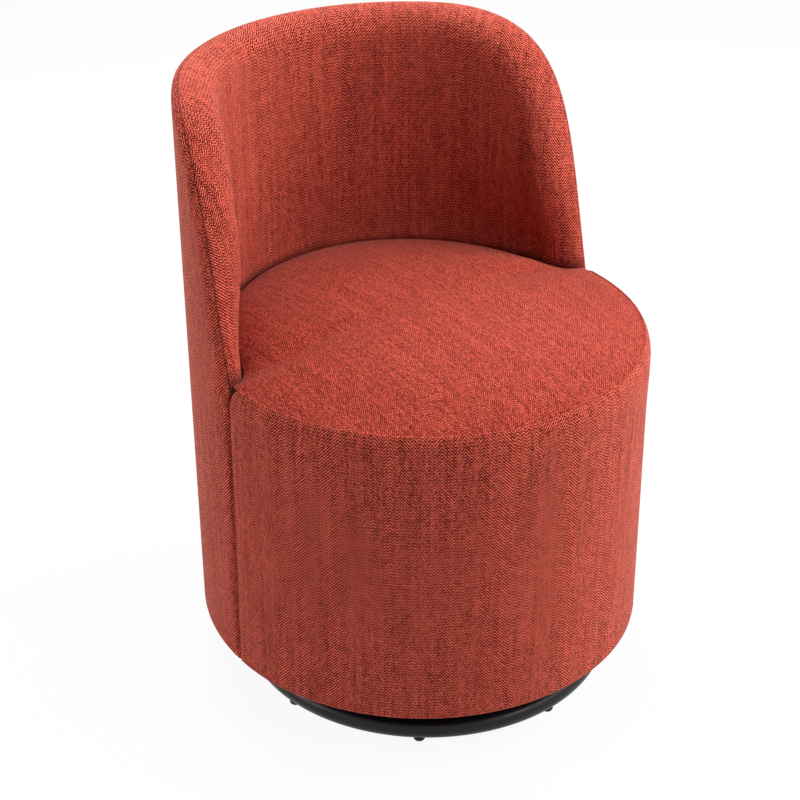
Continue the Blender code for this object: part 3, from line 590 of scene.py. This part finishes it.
def twill_group():
    """Broken twill on a flat cloth position: relief and tone of its beads, slubs, fibres, and weft rows.

    Each column of strands leans left or right by chance. The weft output also holds wide warp bands.
    """
    group = bpy.data.node_groups.new("broken twill", "ShaderNodeTree")
    face = group.interface
    face.new_socket("Cloth", in_out="INPUT", socket_type="NodeSocketVector")
    for name, value in (("Column", 0.0038), ("Pitch", 0.0040), ("Lean", 1.08)):
        face.new_socket(name, in_out="INPUT", socket_type="NodeSocketFloat").default_value = value
    for name in ("Relief", "Tone", "Slub", "Fibre", "Weft"):
        face.new_socket(name, in_out="OUTPUT", socket_type="NodeSocketFloat")
    start = group.nodes.new("NodeGroupInput")
    end = group.nodes.new("NodeGroupOutput")
    cloth, column, pitch, lean = start.outputs[:4]
    wander = put(group, "ShaderNodeTexNoise", cloth, None, 55.0, 2.0, 0.5)
    shift = vector(group, "ADD", wander.outputs["Color"], (-0.5, -0.5, -0.5))
    shift = vector(group, "MULTIPLY", shift, (0.0014, 0.0028, 0.0))
    moved = vector(group, "ADD", cloth, shift)
    split = put(group, "ShaderNodeSeparateXYZ", moved)
    across = calc(group, "DIVIDE", split.outputs[0], column)
    lane = calc(group, "FLOOR", across)
    coin = put(group, "ShaderNodeTexWhiteNoise", None, lane, noise_dimensions="1D").outputs["Value"]
    turn = calc(group, "MULTIPLY_ADD", calc(group, "GREATER_THAN", coin, 0.5), 2.0, -1.0)
    rise = calc(group, "MULTIPLY", calc(group, "DIVIDE", split.outputs[0], pitch), lean)
    strand = calc(group, "MULTIPLY_ADD", rise, turn, calc(group, "DIVIDE", split.outputs[1], pitch))
    crest = wave(group, strand)
    relief = ease(group, crest, 0.22, 0.68)
    order = calc(group, "FLOOR", strand)
    bead = calc(group, "MULTIPLY_ADD", across, 2.0, calc(group, "MULTIPLY", order, 0.5))
    swell = wave(group, bead)
    relief = calc(group, "MULTIPLY", relief, ease(group, swell, 0.0, 0.7, 0.45, 1.0))
    lane_cell = put(group, "ShaderNodeCombineXYZ", lane, order, 0.0).outputs[0]
    bead_cell = put(group, "ShaderNodeCombineXYZ", calc(group, "FLOOR", bead), order, 0.0).outputs[0]
    strand_tone = put(group, "ShaderNodeTexWhiteNoise", lane_cell, noise_dimensions="2D").outputs["Value"]
    bead_tone = put(group, "ShaderNodeTexWhiteNoise", bead_cell, noise_dimensions="2D").outputs["Value"]
    tone = calc(group, "MULTIPLY_ADD", bead_tone, 0.7, calc(group, "MULTIPLY", strand_tone, 0.3))
    long_way = vector(group, "MULTIPLY", cloth, (170.0, 8.0, 1.0))
    slub = put(group, "ShaderNodeTexNoise", long_way, None, 1.0, 3.0, 0.62).outputs["Fac"]
    short_way = vector(group, "MULTIPLY", cloth, (360.0, 1000.0, 1.0))
    fine = put(group, "ShaderNodeTexNoise", short_way, None, 1.0, 1.0, 0.5).outputs["Fac"]
    band_way = vector(group, "MULTIPLY", cloth, (140.0, 4.0, 1.0))
    band = put(group, "ShaderNodeTexNoise", band_way, None, 1.0, 1.0, 0.5).outputs["Fac"]
    row = wave(group, calc(group, "DIVIDE", split.outputs[1], pitch))
    weft = calc(group, "MULTIPLY_ADD", row, 0.70, calc(group, "MULTIPLY_ADD", band, 0.6, -0.15))
    for index, source in enumerate((relief, tone, slub, fine, weft)):
        group.links.new(source, end.inputs[index])
    return group


def coral_weave():
    """Coral cloth: light strands over a dark ground, with slubs along the warp and a soft pile sheen.

    The calm attribute flattens the weave on the seat, and the seam attribute is painted shade that darkens the
    cloth dipping into a seam.
    """
    made, tree, shader = material("coral_weave")
    cloth = put(tree, "ShaderNodeUVMap", uv_map="weave").outputs[0]
    weave = tree.nodes.new("ShaderNodeGroup")
    weave.node_tree = twill_group()
    tree.links.new(cloth, weave.inputs["Cloth"])
    relief, tone, slub, fine, weft = weave.outputs[:5]
    calm = put(tree, "ShaderNodeAttribute", attribute_name="calm").outputs["Fac"]
    depth = calc(tree, "MULTIPLY_ADD", calm, -0.58, 0.95)
    spread = calc(tree, "MULTIPLY_ADD", calm, -0.23, 0.55)
    streak = calc(tree, "MULTIPLY_ADD", calm, -0.36, 0.60)
    lit = calc(tree, "MULTIPLY_ADD", tone, spread, calc(tree, "MULTIPLY", relief, depth))
    lit = calc(tree, "MULTIPLY_ADD", calm, 0.350, lit)
    for uneven, strength in ((slub, streak), (fine, 1.20), (weft, streak)):
        lit = calc(tree, "ADD", lit, calc(tree, "MULTIPLY", calc(tree, "SUBTRACT", uneven, 0.5), strength))
    dark, mid, bright = (0.040, 0.002, 0.001, 1), (0.345, 0.033, 0.020, 1), (0.950, 0.170, 0.108, 1)
    ground = blend_colour(tree, ease(tree, lit, 0.26, 0.82), dark, mid)
    colour = blend_colour(tree, ease(tree, lit, 0.62, 1.25), ground, bright)
    # Painted shade: cloth in seams and crevices is blended towards near black
    painted_shade = put(tree, "ShaderNodeAttribute", attribute_name="painted_seam_shade").outputs["Fac"]
    colour = blend_colour(tree, calc(tree, "MULTIPLY", painted_shade, 0.8), colour, (0.030, 0.002, 0.001, 1))
    tree.links.new(colour, shader.inputs["Base Color"])
    height = calc(tree, "MULTIPLY_ADD", fine, 0.15, relief)
    bump = put(tree, "ShaderNodeBump", 0.55, 0.0006)
    tree.links.new(height, bump.inputs["Height"])
    tree.links.new(bump.outputs[0], shader.inputs["Normal"])
    shader.inputs["Roughness"].default_value = 0.92
    shader.inputs["Specular IOR Level"].default_value = 0.12
    shader.inputs["Sheen Weight"].default_value = 0.17
    shader.inputs["Sheen Roughness"].default_value = 0.35
    shader.inputs["Sheen Tint"].default_value = (1.0, 0.66, 0.54, 1)
    return made


def gloss_black(name, roughness):
    """Black lacquer or plastic with faint unevenness in its gloss."""
    made, tree, shader = material(name)
    place = put(tree, "ShaderNodeTexCoord").outputs["Object"]
    cloud = put(tree, "ShaderNodeTexNoise", place, None, 40.0, 3.0, 0.5).outputs["Fac"]
    tree.links.new(ease(tree, cloud, 0.3, 0.7, roughness, roughness + 0.10), shader.inputs["Roughness"])
    shade = blend_colour(tree, cloud, (0.006, 0.006, 0.007, 1), (0.013, 0.013, 0.014, 1))
    tree.links.new(shade, shader.inputs["Base Color"])
    grain = put(tree, "ShaderNodeTexNoise", place, None, 900.0, 2.0, 0.5).outputs["Fac"]
    bump = put(tree, "ShaderNodeBump", 0.06, 0.0002)
    tree.links.new(grain, bump.inputs["Height"])
    tree.links.new(bump.outputs[0], shader.inputs["Normal"])
    shader.inputs["Specular IOR Level"].default_value = 0.25
    return made


def wood(name, light, dark):
    """Sawn wood with grain along its length."""
    made, tree, shader = material(name)
    place = put(tree, "ShaderNodeTexCoord").outputs["Object"]
    turned = put(tree, "ShaderNodeMapping", place, None, (0.4, 0.2, 0.1), (14.0, 70.0, 70.0)).outputs[0]
    rings = put(tree, "ShaderNodeTexNoise", turned, None, 1.0, 4.0, 0.6)
    rings.inputs["Distortion"].default_value = 1.2
    shade = blend_colour(tree, ease(tree, rings.outputs["Fac"], 0.35, 0.68), light, dark)
    tree.links.new(shade, shader.inputs["Base Color"])
    bump = put(tree, "ShaderNodeBump", 0.2, 0.0003)
    tree.links.new(rings.outputs["Fac"], bump.inputs["Height"])
    tree.links.new(bump.outputs[0], shader.inputs["Normal"])
    shader.inputs["Roughness"].default_value = 0.68
    return made


def zinc_steel():
    made, tree, shader = material("zinc_steel")
    place = put(tree, "ShaderNodeTexCoord").outputs["Object"]
    spangle = put(tree, "ShaderNodeTexVoronoi", place, None, 160.0).outputs["Color"]
    grey = put(tree, "ShaderNodeRGBToBW", spangle).outputs[0]
    shade = blend_colour(tree, grey, (0.42, 0.42, 0.41, 1), (0.60, 0.60, 0.58, 1))
    tree.links.new(shade, shader.inputs["Base Color"])
    tree.links.new(ease(tree, grey, 0.0, 1.0, 0.28, 0.42), shader.inputs["Roughness"])
    shader.inputs["Metallic"].default_value = 1.0
    return made


def plain_cloth(name, light, dark, thread):
    """A close plain cloth: threads across each other."""
    made, tree, shader = material(name)
    place = put(tree, "ShaderNodeTexCoord").outputs["Object"]
    split = put(tree, "ShaderNodeSeparateXYZ", place)
    warp = calc(tree, "PINGPONG", calc(tree, "DIVIDE", split.outputs[0], thread), 0.5)
    weft = calc(tree, "PINGPONG", calc(tree, "DIVIDE", split.outputs[1], thread), 0.5)
    relief = calc(tree, "ADD", warp, weft)
    tree.links.new(blend_colour(tree, relief, dark, light), shader.inputs["Base Color"])
    bump = put(tree, "ShaderNodeBump", 0.4, 0.0003)
    tree.links.new(relief, bump.inputs["Height"])
    tree.links.new(bump.outputs[0], shader.inputs["Normal"])
    shader.inputs["Roughness"].default_value = 0.95
    return made


def dust_cloth(finish):
    """The thin black cloth under the seat, stretched over the bottom board round the bearing."""
    shape = bmesh.new()
    shape.from_mesh(frame["nodes"]["dust_cover"].data)
    bmesh.ops.remove_doubles(shape, verts=shape.verts[:], dist=0.00001)
    made = upholstered("dust_cloth", shape, "seat")
    made.data.materials.clear()
    made.data.materials.append(finish)
    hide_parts("dust_cover")


def dress():
    """Build the soft and smooth pieces and give every piece and node its finish."""
    weave = coral_weave()
    for panel in (back_inside(), back_outside(), drum_front(), seat_pad()):
        panel.data.materials.append(weave)
    lacquer = gloss_black("black_paint", 0.30)
    plastic = gloss_black("black_plastic", 0.42)
    ring, feet = base_ring()
    ring.data.materials.append(lacquer)
    feet.data.materials.append(plastic)
    backing = plain_cloth("dust_cloth", (0.030, 0.030, 0.031, 1), (0.010, 0.010, 0.011, 1), 0.0009)
    finishes = {
        "coral_weave": weave,
        "foam": plain_cloth("foam", (0.80, 0.74, 0.55, 1), (0.66, 0.60, 0.44, 1), 0.002),
        "plywood": wood("plywood", (0.58, 0.41, 0.24, 1), (0.42, 0.27, 0.14, 1)),
        "pine": wood("pine", (0.66, 0.48, 0.29, 1), (0.50, 0.32, 0.17, 1)),
        "dust_cloth": backing,
        "webbing": plain_cloth("webbing", (0.09, 0.08, 0.07, 1), (0.03, 0.027, 0.025, 1), 0.002),
        "black_paint": lacquer,
        "black_plastic": plastic,
        "zinc_steel": zinc_steel(),
    }
    for entry in frame["record"]["subparts"]:
        node = frame["nodes"][entry["node"]]
        if not node.material_slots:
            node.data.materials.append(None)
        for slot in node.material_slots:
            slot.material = finishes[entry["material_slot"]]
    dust_cloth(backing)


def light(name, place, size, power):
    lamp = bpy.data.lights.new(name, "AREA")
    lamp.size = size
    lamp.energy = power
    made = bpy.data.objects.new(name, lamp)
    made.location = place
    made.rotation_euler = (Vector(LAMP_AIM) - Vector(place)).to_track_quat("-Z", "Y").to_euler()
    bpy.context.collection.objects.link(made)


def white_to_eye(tree):
    """1 for rays that show the background itself: seen, mirrored or through something clear."""
    path = put(tree, "ShaderNodeLightPath").outputs
    seen = calc(tree, "MAXIMUM", path["Is Camera Ray"], path["Is Glossy Ray"])
    return calc(tree, "MAXIMUM", seen, path["Is Transmission Ray"])


def studio():
    """Pale floor, white surroundings, soft lamps and the camera of the photograph."""
    shape = bmesh.new()
    bmesh.ops.create_grid(shape, x_segments=1, y_segments=1, size=6.0)
    mesh = bpy.data.meshes.new("floor")
    shape.to_mesh(mesh)
    shape.free()
    floor = bpy.data.objects.new("floor", mesh)
    bpy.context.collection.objects.link(floor)
    paper, tree, shader = material("paper")
    shader.inputs["Base Color"].default_value = (0.82, 0.82, 0.82, 1)
    shader.inputs["Roughness"].default_value = 1.0
    shader.inputs["Specular IOR Level"].default_value = 0.0
    glow = put(tree, "ShaderNodeEmission", (1, 1, 1, 1), 1.0)
    share = calc(tree, "MULTIPLY", white_to_eye(tree), 0.93)
    mixed = put(tree, "ShaderNodeMixShader", share, shader.outputs[0], glow.outputs[0])
    tree.links.new(mixed.outputs[0], tree.nodes["Material Output"].inputs[0])
    floor.data.materials.append(paper)
    floor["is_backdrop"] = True

    world = bpy.data.worlds.new("studio")
    bpy.context.scene.world = world
    world.use_nodes = True
    tree = world.node_tree
    around = tree.nodes["Background"]
    around.inputs[0].default_value = (1, 1, 1, 1)
    around.inputs[1].default_value = 0.0
    seen = put(tree, "ShaderNodeBackground", (1, 1, 1, 1), 1.0)
    mixed = put(tree, "ShaderNodeMixShader", white_to_eye(tree), around.outputs[0], seen.outputs[0])
    tree.links.new(mixed.outputs[0], tree.nodes["World Output"].inputs[0])

    light("right", (2.085, -0.972, 1.9), 1.4, 66)
    light("right_front", (0.972, -2.085, 2.0), 1.4, 36)
    light("right_rear", (2.085, 0.972, 1.5), 1.4, 14)
    light("left_rear", (-2.085, 0.972, 1.3), 1.4, 25)
    light("rear", (0.313, 1.773, 2.3), 1.4, 57)
    light("top", (0.1, -0.1, 2.6), 1.8, 19)

    lens = bpy.data.cameras.new("camera")
    lens.sensor_width = 36.0
    lens.lens = 91.375
    camera = bpy.data.objects.new("camera", lens)
    camera.location = (-1.3468, -1.7585, 1.5686)
    forward = Vector((0.52577, 0.69899, -0.48476)).normalized()
    camera.rotation_euler = forward.to_track_quat("-Z", "Y").to_euler()
    bpy.context.collection.objects.link(camera)
    bpy.context.scene.camera = camera
    bpy.context.scene.view_settings.view_transform = "Standard"


dress()
studio()
boxes = {"cad": cad_box, "visual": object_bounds()}
{name: [list(corner) for corner in box] for name, box in boxes.items()}
